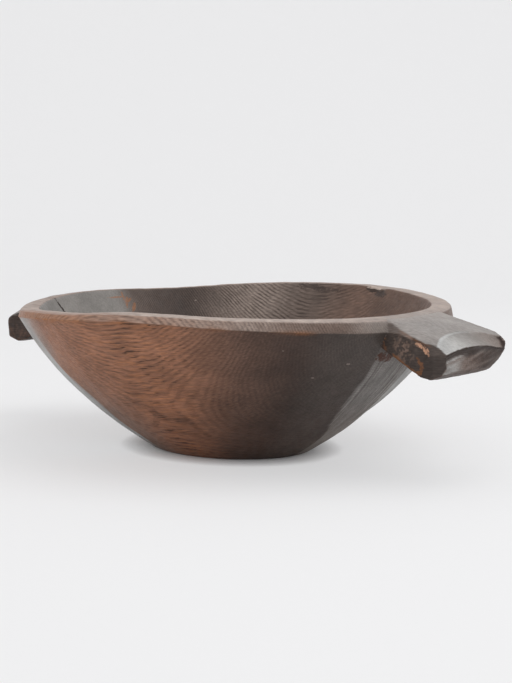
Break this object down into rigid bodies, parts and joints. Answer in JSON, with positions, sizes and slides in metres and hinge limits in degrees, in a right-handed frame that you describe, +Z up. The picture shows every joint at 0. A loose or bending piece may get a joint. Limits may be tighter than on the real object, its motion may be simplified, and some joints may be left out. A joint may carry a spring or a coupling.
{
  "type": "wooden bowl",
  "caption": "Hand-carved oval wooden bowl with a small flat foot, flaring wall, uneven bevelled rim and a drooping lug handle at each end, for dough, bread or fruit.",
  "frame": {"origin": "middle of the flat foot, on the surface that the bowl stands on", "axes": "+X along the two lug handles towards the right one, +Y across the bowl, +Z up out of the hollow"},
  "size_m": [0.488, 0.3432, 0.128],
  "materials": {
    "bowl_wood": "old hand-carved dark walnut, dry and worn",
    "right_handle_wood": "old hand-carved dark walnut, rubbed by hands",
    "left_handle_wood": "old hand-carved dark walnut, rubbed by hands"
  },
  "bodies": {
    "root": {"bowl_body": "bowl_wood", "right_handle": "right_handle_wood", "left_handle": "left_handle_wood"}
  },
  "joints": []
}
